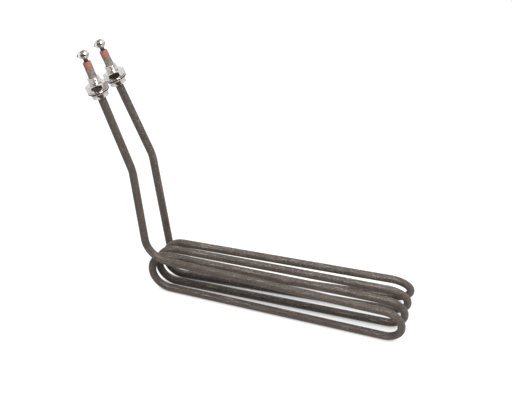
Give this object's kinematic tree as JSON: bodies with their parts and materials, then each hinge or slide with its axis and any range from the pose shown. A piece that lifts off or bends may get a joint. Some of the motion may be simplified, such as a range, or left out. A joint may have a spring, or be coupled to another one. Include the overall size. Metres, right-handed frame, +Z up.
{
  "type": "fryer heating element",
  "caption": "Tubular sheathed heater bent into a flat coil, with legs that rise to threaded bushings and screw terminals, for a deep fryer's tank.",
  "frame": {"origin": "on the axis of the front bushing, in the middle of its free thread above the lock nut", "axes": "+X along the coil's passes, from the legs' end to the far end; +Y from the front leg to the rear leg; +Z up, away from the lower passes that the element lies on"},
  "size_m": [0.339, 0.0879, 0.2721],
  "materials": {
    "oxidised_sheath": "matt dark oxide on a stainless tube, scuffed",
    "magnesia_powder": "compacted white powder",
    "resistance_wire": "drawn wire",
    "dull_steel": "dull, slightly oxidised",
    "red_seal": "glossy, salmon red",
    "plated_steel": "bright nickel plating",
    "pale_gasket": "matt, off-white",
    "spring_steel": "hard, satin grey"
  },
  "bodies": {
    "root": {"sheath": "oxidised_sheath", "magnesia_fill": "magnesia_powder", "resistance_coil": "resistance_wire", "front_terminal_pin": "dull_steel", "rear_terminal_pin": "dull_steel", "front_end_seal": "red_seal", "rear_end_seal": "red_seal", "front_bushing": "plated_steel", "rear_bushing": "plated_steel", "front_gasket": "pale_gasket", "rear_gasket": "pale_gasket", "front_washer": "plated_steel", "rear_washer": "plated_steel", "front_lock_nut": "plated_steel", "rear_lock_nut": "plated_steel", "front_terminal_screw": "plated_steel", "rear_terminal_screw": "plated_steel", "front_plain_washer": "plated_steel", "rear_plain_washer": "plated_steel", "front_spring_washer": "spring_steel", "rear_spring_washer": "spring_steel", "front_terminal_nut": "plated_steel", "rear_terminal_nut": "plated_steel"}
  },
  "joints": []
}
